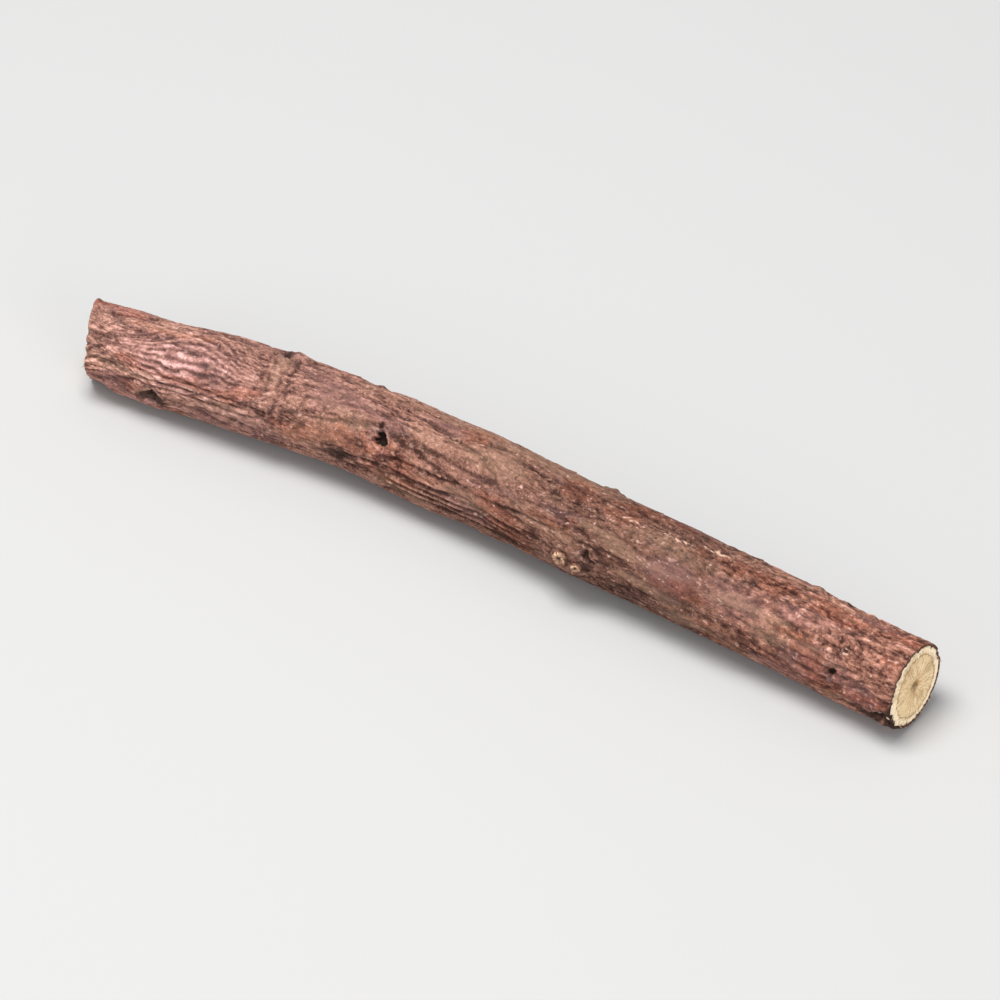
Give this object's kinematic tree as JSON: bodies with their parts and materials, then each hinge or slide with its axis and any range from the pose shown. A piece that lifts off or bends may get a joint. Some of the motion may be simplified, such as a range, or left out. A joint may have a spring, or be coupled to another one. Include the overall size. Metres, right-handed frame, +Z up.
{
  "type": "licorice root",
  "caption": "Short cut length of dried licorice root lying on its side, slightly bowed, with wrinkled bark, a node ring, rootlet scars and pale wood showing at its cut ends.",
  "frame": {"origin": "centre of the underside of the root's box, on the surface that it lies on", "axes": "+X along the root towards its square cut end, +Y towards the side that it bows to, +Z up"},
  "size_m": [0.0884, 0.0112, 0.0089],
  "materials": {
    "root_bark": "dry matt wrinkled bark, reddish mauve brown, with tan ridges and dark cracks",
    "cut_wood": "dry matt cut wood, pale cream yellow, fibrous"
  },
  "bodies": {
    "root": {"licorice_root": "root_bark"}
  },
  "joints": []
}
